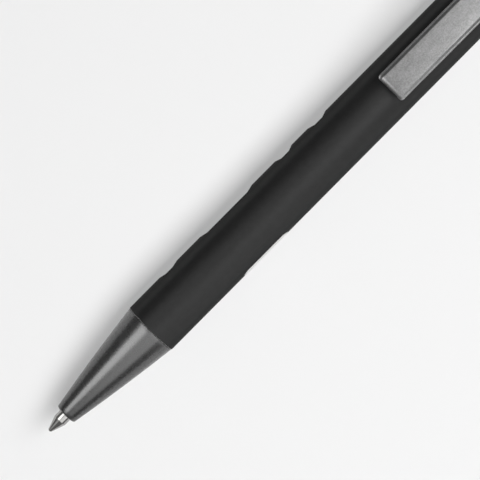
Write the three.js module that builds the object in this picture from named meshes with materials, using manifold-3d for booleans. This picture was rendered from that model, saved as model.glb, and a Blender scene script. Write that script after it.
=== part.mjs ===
// A click ballpoint pen with a rubber stylus tip at its rear end, in millimetres.
// It lies along X with the writing ball towards -X and the clip up, resting on the barrel's lowest facet.
// Every station along the pen is a distance behind the foremost point of the writing ball.
// The model is drawn with the point latched out.

import * as THREE from 'three';
import { mergeVertices } from 'three/addons/utils/BufferGeometryUtils.js';
import Module from 'manifold-3d';

const wasm = await Module();
wasm.setup();

const mergeDistance = 1e-5; // points closer than this are one point
const cutterMargin = 1; // how far a cutter stands proud of what it cuts

// Fits and running gaps
const pressGap = 0.03; // round a piece that is pressed in
const threadGap = 0.1; // round a screwed spigot
const runningGap = 0.1; // round a piece that slides or turns
const seamGap = 0.05; // between end faces that meet
const looseGap = 0.3; // round a piece that rocks, or that follows a curved neighbour

// Number of facets round each turned piece
const outerFacets = 48;
const innerFacets = 24;

// Writing point
const ballDiameter = 0.7;
const ballSocketGap = 0.03;
const ballExposed = 0.2;
const lipWall = 0.045; // of the socket round the middle of the ball
const lipEdgeWall = 0.04; // of the socket at its front edge
const pointConeLength = 2.45;
const pointShoulderDiameter = 2.32;
const pointShoulderLength = 0.12;
const pointShankDiameter = 2.5;
const pointShankEnd = 12.8;
const pointTailDiameter = 1.6;
const pointTailLength = 2.6;
const inkFeedDiameter = 0.4;

// Refill
const refillDiameter = 3.0;
const refillWall = 0.4;
const holderCollarLength = 2.0;
const holderSpigotLength = 4.2;
const earStation = 30.0;
const earLength = 1.2;
const earWidthAngle = 30;
const earCount = 4;
const endPlugFlange = 0.8;
const endPlugLength = 3.8;
const ventDiameter = 0.7;
const inkAirSpace = 18; // empty tube behind the ink

// Return spring
const springWire = 0.4;
const springClearance = 0.25; // between the refill and the inside of the curls
const springCurls = 15;
const springStepsPerCurl = 8;
const springWireSides = 5;

// Nose cone
const pointExposed = 4.17; // how far the point stands out of the nose cone
const noseLength = 21.36;
const noseFrontDiameter = 4.05; // of the cone where it meets the plane of the front face
const noseBulge = 0.14; // how far the cone's side stands proud of a straight line
const noseEdgeRadius = 0.45;
const noseStep = 0.07; // the nose is this much smaller than the barrel in radius
const noseHoleDiameter = 2.8;
const noseLipLength = 0.8;
const noseWallAtSeat = 0.6;
const spigotLength = 7.0;

// Barrel and the bushes pressed into its ends
const barrelDiameter = 10.5;
const barrelWall = 0.8;
const barrelLength = 98.42;
const barrelEndChamfer = 0.12;
const frontBushWall = 0.45;
const frontBushLength = 8.0;
const frontBushInset = 0.6;
const rearBushWall = 0.4;
const rearBushInBarrel = 7.0;
const rearBushInCollar = 4.0;

// Milled flats. Each row is one flat: its start and end at full diameter, the length of its two ramps, and its
// depth. The ramps run from the full diameter down to the floor of the flat.
const farSideFlats = [
  { start: 33.1, end: 37.5, ramp: 1.35, depth: 0.27 },
  { start: 43.3, end: 56.3, ramp: 1.5, depth: 0.32 },
  { start: 62.1, end: 66.3, ramp: 1.15, depth: 0.39 },
  { start: 70.3, end: 74.8, ramp: 1.35, depth: 0.39 },
];
const nearSideFlats = [{ start: 43.7, end: 55.2, ramp: 1.4, depth: 0.135 }];
const farSideLean = 0; // degrees by which the flats on +Y look up towards the clip
const nearSideLean = 9.2; // the same for the flat on -Y

// Top collar
const collarLength = 6.5;
const collarShoulderRadius = 2.2;
const collarRim = 0.35; // flat rear face round the sleeve

// Clip
const clipLength = 43.3; // from its free end to the back of its foot
const clipWidth = 6.0;
const clipThickness = 1.1;
const clipLiftFront = 0.85; // its underside above the barrel at the free end
const clipLiftRear = 1.5; // its underside above the barrel at the foot
const clipFootLength = 2.0;
const clipFootBehindBarrel = 4.1; // back of the foot behind the barrel's end
const clipShoulderRadius = 1.6;
const clipArchRadius = 0.7;
const clipCornerRadius = 0.65;
const clipNubStart = 2.2; // behind the free end
const clipNubLength = 3.4;
const clipRimWidth = 0.35;
const clipGrooveWidth = 0.5;
const clipGrooveDepth = 0.22;
const clipGrooveStart = 0.5; // behind the free end
const tongueWidth = 3.4;

// Click mechanism
const strokeOut = 5.5; // travel of the point back into the nose
const strokeOver = 1.2; // extra travel of the button that unlatches it
const rotorTurn = 45; // degrees for the whole outward stroke
const sleeveWall = 0.9;
const sleeveLength = 22.7;
const sleeveRearInset = 0.3; // the sleeve ends this far inside the collar
const ribCount = 4;
const ribHeight = 0.75;
const ribHalfAngle = 11;
const ribRearFromBarrelEnd = 5.0;
const lobeHalfAngle = 8;
const lobeLength = 2.2;
const camGap = 0.15; // between the slanted faces of lobe and rib, along the pen
const rotorPadLength = 1.6;
const rotorLength = 5.2; // without the teeth and the pilot
const rotorFromBarrelEnd = 17.15; // front face of the rotor ahead of the barrel's end
const hubClearance = 0.25; // between the ribs and what passes inside them
const crownTeeth = 8;
const crownToothHeight = 0.5;
const pilotDiameter = 2.0;
const pilotLength = 3.0;
const keyHalfAngle = 10;
const keyLength = 2.6;
const keySetback = 0.8; // behind the crown's teeth

// Button and stylus
const buttonWall = 0.3;
const buttonOut = 2.0; // bare length of button between the collar and its head
const headLength = 2.4;
const headProud = 0.42;
const headEdgeRadius = 0.5;
const headRecess = 1.5;
const headRimWall = 0.3;
const plungerTailLength = 8.0;
const holderStemLength = 4.4;
const holderNeckDiameter = 4.4;
const holderNeckLength = 3.0;
const stylusDiameter = 6.8;
const stylusWall = 0.75;
const stylusLength = 5.05; // beyond the button's head

// Radii and stations that follow from the sizes above
const barrelRadius = barrelDiameter / 2;
const barrelBore = barrelRadius - barrelWall;
const noseRear = pointExposed + noseLength;
const barrelStart = noseRear + seamGap;
const barrelEnd = barrelStart + barrelLength;
const collarStart = barrelEnd + seamGap;
const collarEnd = collarStart + collarLength;
const headStart = collarEnd + buttonOut;
const headEnd = headStart + headLength;
const overallLength = headEnd + stylusLength;

const refillRadius = refillDiameter / 2;
const refillBore = refillRadius - refillWall;
const refillTubeStart = pointShankEnd + holderCollarLength;
const rotorFront = barrelEnd - rotorFromBarrelEnd;
const refillRear = rotorFront - seamGap;

const springMeanRadius = refillRadius + springClearance + springWire / 2;
const springOuterRadius = springMeanRadius + springWire / 2;
const springBore = springOuterRadius + looseGap;
const seatBore = springMeanRadius - looseGap;

const bushFit = barrelBore - pressGap;
const frontBushBore = bushFit - frontBushWall;
const spigotRadius = frontBushBore - threadGap;
const rearBushBore = bushFit - rearBushWall;
const sleeveRadius = rearBushBore - pressGap;
const sleeveBore = sleeveRadius - sleeveWall;
const ribRadius = sleeveBore - ribHeight;
const hubRadius = ribRadius - hubClearance;
const lobeRadius = sleeveBore - runningGap;
const buttonRadius = sleeveBore - runningGap;
const buttonBore = buttonRadius - buttonWall;
const rampPerDegree = strokeOut / rotorTurn;
const lobeRear = rotorFront + rotorLength - 0.5 * lobeLength;
const ribRear = barrelEnd - ribRearFromBarrelEnd;
const crownFront = rotorFront + rotorLength + 2 * crownToothHeight + 2 * seamGap;
const buttonFront = ribRear + strokeOver + looseGap;
const headRadius = buttonRadius + headProud;
const recessRadius = headRadius - headRimWall;
const skirtRadius = recessRadius - pressGap;
const skirtStart = headEnd - headRecess;

const degrees = Math.PI / 180;

// Turns a closed geometry into a solid that can be joined and cut.
function solidOf(geometry) {
  const bare = geometry.clone();
  for (const name of Object.keys(bare.attributes)) {
    if (name !== 'position') {
      bare.deleteAttribute(name);
    }
  }
  const merged = mergeVertices(bare, mergeDistance);
  const vertProperties = new Float32Array(merged.attributes.position.array);
  const triVerts = new Uint32Array(merged.index.array);
  return new wasm.Manifold(new wasm.Mesh({ numProp: 3, vertProperties, triVerts }));
}

// Turns a solid back into a geometry.
function geometryOf(solid) {
  const mesh = solid.getMesh();
  const geometry = new THREE.BufferGeometry();
  geometry.setAttribute('position', new THREE.BufferAttribute(new Float32Array(mesh.vertProperties), 3));
  geometry.setIndex(new THREE.BufferAttribute(new Uint32Array(mesh.triVerts), 1));
  return geometry;
}

// One solid out of several geometries that touch
function joined(first, ...others) {
  return others.reduce((solid, other) => solid.add(solidOf(other)), solidOf(first));
}

// A piece turned about the pen's axis. The profile is a list of [station, radius] that runs along the outside
// from front to rear and comes back along the inside. Its facets, not its corners, lie on the stated radii.
function turned(profile, facets) {
  const cornerScale = 1 / Math.cos(Math.PI / facets);
  const points = profile.map(([station, radius]) => new THREE.Vector2(radius * cornerScale, station));
  const lathe = new THREE.LatheGeometry(points, facets, Math.PI / facets);
  return lathe.rotateZ(-Math.PI / 2);
}

// Points along an arc in a profile, from one angle to another, both measured from the rearward direction.
function arc(station, radius, arcRadius, fromAngle, toAngle, steps) {
  const points = [];
  for (let i = 0; i <= steps; i += 1) {
    const angle = (fromAngle + ((toAngle - fromAngle) * i) / steps) * degrees;
    points.push([station + arcRadius * Math.cos(angle), radius + arcRadius * Math.sin(angle)]);
  }
  return points;
}

// A block between two radii and two angles round the pen's axis. Its front and rear faces may slope with the
// angle, and a block that goes all the way round closes on itself.
function curvedBlock({ inner, outer, from, to, steps, front, rear }) {
  const whole = to - from >= 360;
  const sections = whole ? steps : steps + 1;
  const positions = [];
  for (let i = 0; i < sections; i += 1) {
    const angle = from + ((to - from) * i) / steps;
    const y = Math.cos(angle * degrees);
    const z = Math.sin(angle * degrees);
    const corners = [
      [front(angle), inner],
      [front(angle), outer],
      [rear(angle), outer],
      [rear(angle), inner],
    ];
    corners.forEach(([x, radius]) => positions.push(x, radius * y, radius * z));
  }
  const index = [];
  for (let i = 0; i < steps; i += 1) {
    const here = 4 * i;
    const next = 4 * ((i + 1) % sections);
    for (let k = 0; k < 4; k += 1) {
      const l = (k + 1) % 4;
      index.push(here + k, next + k, next + l, here + k, next + l, here + l);
    }
  }
  if (!whole) {
    const last = 4 * (sections - 1);
    index.push(0, 1, 2, 0, 2, 3);
    index.push(last, last + 2, last + 1, last, last + 3, last + 2);
  }
  const geometry = new THREE.BufferGeometry();
  geometry.setAttribute('position', new THREE.Float32BufferAttribute(positions, 3));
  geometry.setIndex(index);
  return geometry;
}

// Evenly spaced copies of one curved block.
function blocksAround(count, firstAngle, halfAngle, steps, sizes) {
  return Array.from({ length: count }, (_, i) => {
    const middle = firstAngle + (360 / count) * i;
    const front = (angle) => sizes.front(angle - middle);
    const rear = (angle) => sizes.rear(angle - middle);
    return curvedBlock({ ...sizes, from: middle - halfAngle, to: middle + halfAngle, steps, front, rear });
  });
}

// A face of a block that stands square across the pen
function flat(station) {
  return () => station;
}

// The tooth height at an angle on a crown of pointed teeth.
function toothAt(angle) {
  const share = (((angle / 360) * crownTeeth) % 1 + 1) % 1;
  return crownToothHeight * (1 - Math.abs(2 * share - 1));
}

// An outline in the plane of stations and heights, drawn out sideways by a width and centred on the pen.
function slab(outline, width) {
  const extrude = { depth: width, bevelEnabled: false, curveSegments: 5 };
  return new THREE.ExtrudeGeometry(outline, extrude).translate(0, 0, -width / 2).rotateX(Math.PI / 2);
}

// Closed outlines with straight sides
function polygon(points) {
  return new THREE.Shape(points.map(([x, y]) => new THREE.Vector2(x, y)));
}

function rectangle(x0, x1, y0, y1) {
  return polygon([[x0, y0], [x1, y0], [x1, y1], [x0, y1]]);
}

// Writing ball
function writingBallGeometry() {
  const radius = ballDiameter / 2;
  return new THREE.SphereGeometry(radius, 12, 8).rotateZ(-Math.PI / 2).translate(radius, 0, 0);
}

// Metal point with the socket of the ball in its front
function refillTipGeometry() {
  const ballRadius = ballDiameter / 2;
  const socket = ballRadius + ballSocketGap;
  const lipAngle = Math.acos((ballExposed - ballRadius) / socket) / degrees;
  const feed = inkFeedDiameter / 2;
  const feedAngle = Math.asin(feed / socket) / degrees;
  const lipRadius = socket * Math.sin(lipAngle * degrees) + lipEdgeWall;
  const equatorRadius = socket + lipWall;
  const shoulder = pointConeLength + pointShoulderLength;
  const tailEnd = pointShankEnd + pointTailLength;
  return turned(
    [
      [ballExposed, lipRadius],
      [ballRadius, equatorRadius],
      [pointConeLength, pointShoulderDiameter / 2],
      [shoulder, pointShankDiameter / 2],
      [pointShankEnd, pointShankDiameter / 2],
      [pointShankEnd, pointTailDiameter / 2],
      [tailEnd, pointTailDiameter / 2],
      [tailEnd, feed],
      ...arc(ballRadius, 0, socket, feedAngle, lipAngle, 4),
      [ballExposed, lipRadius],
    ],
    innerFacets,
  );
}

// Plastic adapter between the point and the ink tube
function tipHolderGeometry() {
  const bore = pointTailDiameter / 2 + pressGap;
  const spigot = refillBore - pressGap;
  const end = refillTubeStart + holderSpigotLength;
  return turned(
    [
      [pointShankEnd, refillRadius],
      [refillTubeStart, refillRadius],
      [refillTubeStart, spigot],
      [end, spigot],
      [end, bore],
      [pointShankEnd, bore],
      [pointShankEnd, refillRadius],
    ],
    innerFacets,
  );
}

// Ink tube with the ears that the spring pushes on
function refillTubeGeometry() {
  const end = refillRear - endPlugFlange;
  const tube = turned(
    [
      [refillTubeStart, refillRadius],
      [end, refillRadius],
      [end, refillBore],
      [refillTubeStart, refillBore],
      [refillTubeStart, refillRadius],
    ],
    innerFacets,
  );
  const ears = blocksAround(earCount, 45, earWidthAngle / 2, 3, {
    inner: (refillRadius + refillBore) / 2,
    outer: springOuterRadius,
    front: flat(earStation),
    rear: flat(earStation + earLength),
  });
  return geometryOf(joined(tube, ...ears));
}

// Ink in the tube
function inkColumnGeometry() {
  const radius = refillBore - pressGap;
  const start = refillTubeStart + holderSpigotLength + seamGap;
  const end = refillRear - endPlugLength - inkAirSpace;
  return turned([[start, 0], [start, radius], [end, radius], [end, 0]], innerFacets);
}

// Plug in the rear of the ink tube, with its vent
function refillEndPlugGeometry() {
  const vent = ventDiameter / 2;
  const plug = refillBore - pressGap;
  const front = refillRear - endPlugLength;
  const flange = refillRear - endPlugFlange;
  return turned(
    [
      [front, plug],
      [flange, plug],
      [flange, refillRadius],
      [refillRear, refillRadius],
      [refillRear, vent],
      [front, vent],
      [front, plug],
    ],
    innerFacets,
  );
}

// Stations of the middle of the spring's wire at its two ends
const springStart = pointExposed + noseSeatDepth() + springWire / 2 + seamGap;
const springEnd = earStation - springWire / 2 - seamGap;

// Depth of the spring's seat behind the nose's front face: where the cone is wide enough for the wall there.
function noseSeatDepth() {
  const wanted = springBore + noseWallAtSeat;
  const front = noseFrontDiameter / 2;
  const rear = barrelRadius - noseStep;
  return (noseLength * (wanted - front)) / (rear - front);
}

// The middle of the spring's wire at a share of its length
function springPoint(share) {
  const angle = 2 * Math.PI * springCurls * share;
  const station = springStart + (springEnd - springStart) * share;
  return new THREE.Vector3(station, springMeanRadius * Math.cos(angle), springMeanRadius * Math.sin(angle));
}

// Return spring: a round wire wound at an even pitch
function returnSpringGeometry() {
  const steps = springCurls * springStepsPerCurl;
  const positions = [];
  for (let i = 0; i <= steps; i += 1) {
    const middle = springPoint(i / steps);
    const outwards = new THREE.Vector3(0, middle.y, middle.z).normalize();
    for (let k = 0; k < springWireSides; k += 1) {
      const angle = (2 * Math.PI * k) / springWireSides;
      const point = middle.clone().addScaledVector(outwards, (springWire / 2) * Math.cos(angle));
      positions.push(point.x - (springWire / 2) * Math.sin(angle), point.y, point.z);
    }
  }
  const index = [];
  for (let i = 0; i < steps; i += 1) {
    for (let k = 0; k < springWireSides; k += 1) {
      const a = springWireSides * i + k;
      const b = springWireSides * i + ((k + 1) % springWireSides);
      index.push(a, b, b + springWireSides, a, b + springWireSides, a + springWireSides);
    }
  }
  const last = springWireSides * steps;
  for (let k = 1; k < springWireSides - 1; k += 1) {
    index.push(0, k + 1, k);
    index.push(last, last + k, last + k + 1);
  }
  const geometry = new THREE.BufferGeometry();
  geometry.setAttribute('position', new THREE.Float32BufferAttribute(positions, 3));
  geometry.setIndex(index);
  return geometry;
}

// The least gap between neighbouring curls, measured on points of the wire's middle line.
function springGap() {
  const steps = springCurls * springStepsPerCurl;
  const points = Array.from({ length: steps + 1 }, (_, i) => springPoint(i / steps));
  let least = Infinity;
  points.forEach((point, i) => {
    points.slice(i + springStepsPerCurl / 2).forEach((other) => {
      least = Math.min(least, point.distanceTo(other));
    });
  });
  return least - springWire;
}

// Nose cone: a gently bulging cone with a hole for the point, a seat for the spring and a screwed spigot
function noseConeGeometry() {
  const front = pointExposed;
  const rearRadius = barrelRadius - noseStep;
  const frontRadius = noseFrontDiameter / 2;
  const sideRadius = (share) => frontRadius + (rearRadius - frontRadius) * share
    + 4 * noseBulge * share * (1 - share);
  const edgeShare = noseEdgeRadius / noseLength;
  const edgeCentre = sideRadius(edgeShare) - noseEdgeRadius;
  const outline = arc(front + noseEdgeRadius, edgeCentre, noseEdgeRadius, 180, 98, 3);
  const sideSteps = 5;
  for (let i = 1; i <= sideSteps; i += 1) {
    const share = edgeShare + ((1 - edgeShare) * i) / sideSteps;
    outline.push([front + noseLength * share, sideRadius(share)]);
  }
  const spigotEnd = noseRear + spigotLength;
  const seat = front + noseSeatDepth();
  const hole = noseHoleDiameter / 2;
  const first = outline[0];
  return turned(
    [
      ...outline,
      [noseRear, spigotRadius],
      [spigotEnd, spigotRadius],
      [spigotEnd, springBore],
      [seat, springBore],
      [seat, seatBore],
      [front + noseLipLength, seatBore],
      [front + noseLipLength, hole],
      [front, hole],
      first,
    ],
    outerFacets,
  );
}

// A plain ring with an outer and an inner radius
function ring(start, end, outer, inner) {
  const profile = [[start, outer], [end, outer], [end, inner], [start, inner], [start, outer]];
  return turned(profile, outerFacets);
}

// A plain solid rod
function rod(start, end, radius) {
  return turned([[start, 0], [start, radius], [end, radius], [end, 0]], outerFacets);
}

// Front bush
function frontBushGeometry() {
  const start = barrelStart + frontBushInset;
  return ring(start, start + frontBushLength, bushFit, frontBushBore);
}

// What a milling cutter takes away for one flat. Its ramps go on outwards at their own slope.
function flatCutter({ start, end, ramp, depth }, angle) {
  const overrun = (ramp * cutterMargin) / depth;
  const outline = polygon([
    [start - overrun, barrelRadius + cutterMargin],
    [start + ramp, barrelRadius - depth],
    [end - ramp, barrelRadius - depth],
    [end + overrun, barrelRadius + cutterMargin],
  ]);
  return slab(outline, barrelDiameter).rotateX(angle);
}

// Barrel with its milled flats
function barrelTubeGeometry() {
  const chamfer = barrelEndChamfer;
  const tube = turned(
    [
      [barrelStart, barrelRadius - chamfer],
      [barrelStart + chamfer, barrelRadius],
      [barrelEnd - chamfer, barrelRadius],
      [barrelEnd, barrelRadius - chamfer],
      [barrelEnd, barrelBore],
      [barrelStart, barrelBore],
      [barrelStart, barrelRadius - chamfer],
    ],
    outerFacets,
  );
  const towardsFarSide = (farSideLean - 90) * degrees;
  const towardsNearSide = (90 - nearSideLean) * degrees;
  const cutters = [
    ...farSideFlats.map((size) => flatCutter(size, towardsFarSide)),
    ...nearSideFlats.map((size) => flatCutter(size, towardsNearSide)),
  ];
  return geometryOf(cutters.reduce((solid, cutter) => solid.subtract(solidOf(cutter)), solidOf(tube)));
}

// The slot that the clip's tongue goes through, in the collar and in the bush under it
function tongueSlot() {
  const back = barrelEnd + clipFootBehindBarrel + looseGap;
  const front = back - clipFootLength - 2 * looseGap;
  const outline = rectangle(front, back, 0, barrelDiameter);
  return solidOf(slab(outline, tongueWidth + 2 * looseGap));
}

// Rear bush
function rearBushGeometry() {
  const bush = ring(barrelEnd - rearBushInBarrel, collarStart + rearBushInCollar, bushFit, rearBushBore);
  return geometryOf(solidOf(bush).subtract(tongueSlot()));
}

// Top collar
function topCollarGeometry() {
  const shoulderCentre = barrelRadius - collarShoulderRadius;
  const rimAngle = Math.asin((rearBushBore + collarRim - shoulderCentre) / collarShoulderRadius);
  const shoulderStation = collarEnd - collarShoulderRadius * Math.cos(rimAngle);
  const shoulder = arc(shoulderStation, shoulderCentre, collarShoulderRadius, 90, rimAngle / degrees, 4);
  const bushEnd = collarStart + rearBushInCollar + seamGap;
  const collar = turned(
    [
      [collarStart, barrelRadius - barrelEndChamfer],
      [collarStart + barrelEndChamfer, barrelRadius],
      ...shoulder,
      [collarEnd, rearBushBore],
      [bushEnd, rearBushBore],
      [bushEnd, barrelBore],
      [collarStart, barrelBore],
      [collarStart, barrelRadius - barrelEndChamfer],
    ],
    outerFacets,
  );
  return geometryOf(solidOf(collar).subtract(tongueSlot()));
}

// The side view of the clip: arm, rounded shoulder and foot
function clipSideOutline() {
  const free = barrelEnd + clipFootBehindBarrel - clipLength;
  const back = free + clipLength;
  const footFront = back - clipFootLength;
  const slope = (clipLiftRear - clipLiftFront) / (footFront - free);
  const underside = (station) => barrelRadius + clipLiftFront + slope * (station - free);
  const top = (station) => underside(station) + clipThickness;
  const nubStart = free + clipNubStart;
  const nubEnd = nubStart + clipNubLength;
  const nubMiddle = (nubStart + nubEnd) / 2;
  const nubReach = 2 * (barrelRadius + looseGap) - underside(nubMiddle);
  const outline = new THREE.Shape();
  outline.moveTo(free, underside(free));
  outline.lineTo(nubStart, underside(nubStart));
  outline.quadraticCurveTo(nubMiddle, nubReach, nubEnd, underside(nubEnd));
  outline.lineTo(footFront - clipArchRadius, underside(footFront - clipArchRadius));
  outline.quadraticCurveTo(footFront, underside(footFront), footFront, underside(footFront) - clipArchRadius);
  outline.lineTo(footFront, 0);
  outline.lineTo(back, 0);
  outline.lineTo(back, top(back) - clipShoulderRadius);
  outline.quadraticCurveTo(back, top(back), back - clipShoulderRadius, top(back - clipShoulderRadius));
  outline.lineTo(free, top(free));
  outline.closePath();
  return { outline, free, back, footFront, top };
}

// The clip seen from above, with its two rounded corners
function clipPlan(free, back) {
  const half = clipWidth / 2;
  const plan = new THREE.Shape();
  plan.moveTo(back + cutterMargin, -half);
  plan.lineTo(back + cutterMargin, half);
  plan.lineTo(free + clipCornerRadius, half);
  plan.quadraticCurveTo(free, half, free, half - clipCornerRadius);
  plan.lineTo(free, clipCornerRadius - half);
  plan.quadraticCurveTo(free, -half, free + clipCornerRadius, -half);
  plan.closePath();
  const height = { depth: 2 * barrelDiameter, bevelEnabled: false, curveSegments: 5 };
  return new THREE.ExtrudeGeometry(plan, height);
}

// Clip
function clipGeometry() {
  const { outline, free, back, footFront, top } = clipSideOutline();
  const grooveFront = free + clipGrooveStart;
  const grooveBack = back - clipShoulderRadius;
  const groove = polygon([
    [grooveFront, top(grooveFront) - clipGrooveDepth],
    [grooveBack, top(grooveBack) - clipGrooveDepth],
    [grooveBack, top(grooveBack) + cutterMargin],
    [grooveFront, top(grooveFront) + cutterMargin],
  ]);
  const grooveOffset = clipWidth / 2 - clipRimWidth - clipGrooveWidth / 2;
  const cleared = rod(0, overallLength, barrelRadius + looseGap);
  const tongueBottom = sleeveRadius + looseGap;
  const tongueTop = barrelRadius + 2 * looseGap;
  const tongue = slab(rectangle(footFront, back, tongueBottom, tongueTop), tongueWidth);
  let clip = solidOf(slab(outline, clipWidth)).intersect(solidOf(clipPlan(free, back)));
  for (const side of [-1, 1]) {
    clip = clip.subtract(solidOf(slab(groove, clipGrooveWidth).translate(0, side * grooveOffset, 0)));
  }
  clip = clip.subtract(solidOf(cleared));
  return geometryOf(clip.add(solidOf(tongue)));
}

// Fixed sleeve of the click mechanism. The front ends of its ribs slope like the lobes that rest on them.
function camSleeveGeometry() {
  const end = collarEnd - sleeveRearInset;
  const start = end - sleeveLength;
  const sleeve = ring(start, end, sleeveRadius, sleeveBore);
  const ribs = blocksAround(ribCount, 0, ribHalfAngle, 4, {
    inner: ribRadius,
    outer: (sleeveRadius + sleeveBore) / 2,
    front: (angle) => lobeRear + camGap + rampPerDegree * angle,
    rear: flat(ribRear),
  });
  return geometryOf(joined(sleeve, ...ribs));
}

// Rotor: a pad that pushes on the refill, four lobes, a toothed rear face and a pilot
function rotorCamGeometry() {
  const padRadius = refillRadius + hubClearance;
  const padEnd = rotorFront + rotorPadLength;
  const hubEnd = rotorFront + rotorLength;
  const pilot = pilotDiameter / 2;
  const body = turned(
    [
      [rotorFront, 0],
      [rotorFront, padRadius],
      [padEnd, padRadius],
      [padEnd, hubRadius],
      [hubEnd, hubRadius],
      [hubEnd, pilot],
      [hubEnd + pilotLength, pilot],
      [hubEnd + pilotLength, 0],
    ],
    innerFacets,
  );
  const lobes = blocksAround(ribCount, 0, lobeHalfAngle, 3, {
    inner: hubRadius - hubClearance,
    outer: lobeRadius,
    front: flat(lobeRear - lobeLength),
    rear: (angle) => lobeRear + rampPerDegree * angle,
  });
  const teeth = curvedBlock({
    inner: pilot + 2 * runningGap,
    outer: hubRadius - runningGap,
    from: 0,
    to: 360,
    steps: 2 * crownTeeth,
    front: flat(hubEnd - crownToothHeight),
    rear: (angle) => hubEnd + toothAt(angle),
  });
  return geometryOf(joined(body, ...lobes, teeth));
}

// Plunger: a crown of teeth with four keys in front, and the tail that the button is pressed on
function plungerGeometry() {
  const bore = pilotDiameter / 2 + runningGap;
  const bodyRadius = hubRadius;
  const boreEnd = crownFront + pilotLength;
  const tailStart = buttonFront + seamGap;
  const tailEnd = tailStart + plungerTailLength;
  const tailRadius = buttonBore - pressGap;
  const body = turned(
    [
      [crownFront, bodyRadius],
      [tailStart, bodyRadius],
      [tailStart, tailRadius],
      [tailEnd, tailRadius],
      [tailEnd, 0],
      [boreEnd, 0],
      [boreEnd, bore],
      [crownFront, bore],
      [crownFront, bodyRadius],
    ],
    innerFacets,
  );
  const keyFront = crownFront + keySetback;
  const keys = blocksAround(ribCount, 180 / ribCount, keyHalfAngle, 3, {
    inner: bodyRadius - hubClearance,
    outer: lobeRadius,
    front: flat(keyFront),
    rear: flat(keyFront + keyLength),
  });
  const teeth = curvedBlock({
    inner: bore + runningGap,
    outer: bodyRadius - runningGap,
    from: 0,
    to: 360,
    steps: 2 * crownTeeth,
    front: (angle) => crownFront - toothAt(angle),
    rear: flat(crownFront + crownToothHeight),
  });
  return geometryOf(joined(body, ...keys, teeth));
}

// Button shell with the head that holds the rubber's skirt
function buttonShellGeometry() {
  const edge = headEdgeRadius;
  return turned(
    [
      [buttonFront, buttonRadius],
      [headStart, buttonRadius],
      ...arc(headStart + edge, headRadius - edge, edge, 150, 90, 3),
      ...arc(headEnd - edge, headRadius - edge, edge, 90, 30, 3),
      [headEnd, recessRadius],
      [skirtStart, recessRadius],
      [skirtStart, buttonBore],
      [buttonFront, buttonBore],
      [buttonFront, buttonRadius],
    ],
    outerFacets,
  );
}

// Plug that carries the rubber
function stylusHolderGeometry() {
  const stem = buttonBore - pressGap;
  const neck = holderNeckDiameter / 2;
  const stemStart = skirtStart - holderStemLength;
  const neckEnd = skirtStart + holderNeckLength;
  return turned(
    [[stemStart, 0], [stemStart, stem], [skirtStart, stem], [skirtStart, neck], [neckEnd, neck], [neckEnd, 0]],
    outerFacets,
  );
}

// Rubber dome, open at the front for the plug
function stylusTipGeometry() {
  const outer = stylusDiameter / 2;
  const inner = outer - stylusWall;
  const centre = overallLength - outer;
  const neck = holderNeckDiameter / 2 + runningGap;
  const skirtFront = skirtStart + seamGap;
  const bulgeStart = headEnd + seamGap;
  const outerTop = arc(centre, 0, outer, 90, 0, 8).slice(0, -1);
  const innerTop = arc(centre, 0, inner, 0, 90, 5).slice(1);
  return turned(
    [
      [skirtFront, skirtRadius],
      [bulgeStart, skirtRadius],
      ...outerTop,
      [centre + outer, 0],
      [centre + inner, 0],
      ...innerTop,
      [bulgeStart, inner],
      [bulgeStart, neck],
      [skirtFront, neck],
      [skirtFront, skirtRadius],
    ],
    outerFacets,
  );
}

// Materials
function gunmetalGloss() {
  return new THREE.MeshStandardMaterial({ color: 0x6a6a6b, roughness: 0.28, metalness: 1 });
}

function gunmetalSatin() {
  return new THREE.MeshStandardMaterial({ color: 0x7a7a79, roughness: 0.5, metalness: 1 });
}

function softTouchBlack() {
  return new THREE.MeshStandardMaterial({ color: 0x262626, roughness: 0.75, metalness: 0 });
}

function brightMetal() {
  return new THREE.MeshStandardMaterial({ color: 0xc9c9c6, roughness: 0.22, metalness: 1 });
}

function brass() {
  return new THREE.MeshStandardMaterial({ color: 0xb59a55, roughness: 0.35, metalness: 1 });
}

function springSteel() {
  return new THREE.MeshStandardMaterial({ color: 0x9a9a9c, roughness: 0.3, metalness: 1 });
}

function whitePlastic() {
  return new THREE.MeshStandardMaterial({ color: 0xdfdfda, roughness: 0.5, metalness: 0 });
}

function blackPlastic() {
  return new THREE.MeshStandardMaterial({ color: 0x1c1c1d, roughness: 0.5, metalness: 0 });
}

function clearPlastic() {
  return new THREE.MeshStandardMaterial({ color: 0xd5d8d6, roughness: 0.4, metalness: 0 });
}

function blueInk() {
  return new THREE.MeshStandardMaterial({ color: 0x16225e, roughness: 0.3, metalness: 0 });
}

function stylusRubber() {
  return new THREE.MeshStandardMaterial({ color: 0x1a1a1a, roughness: 0.85, metalness: 0 });
}

// Assembly
const group = new THREE.Group();
const pen = new THREE.Group();
pen.position.set(-overallLength / 2, 0, barrelRadius);
group.add(pen);

// One named piece of the pen
function place(name, geometry, material) {
  const mesh = new THREE.Mesh(geometry, material);
  mesh.name = name;
  pen.add(mesh);
}

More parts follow.
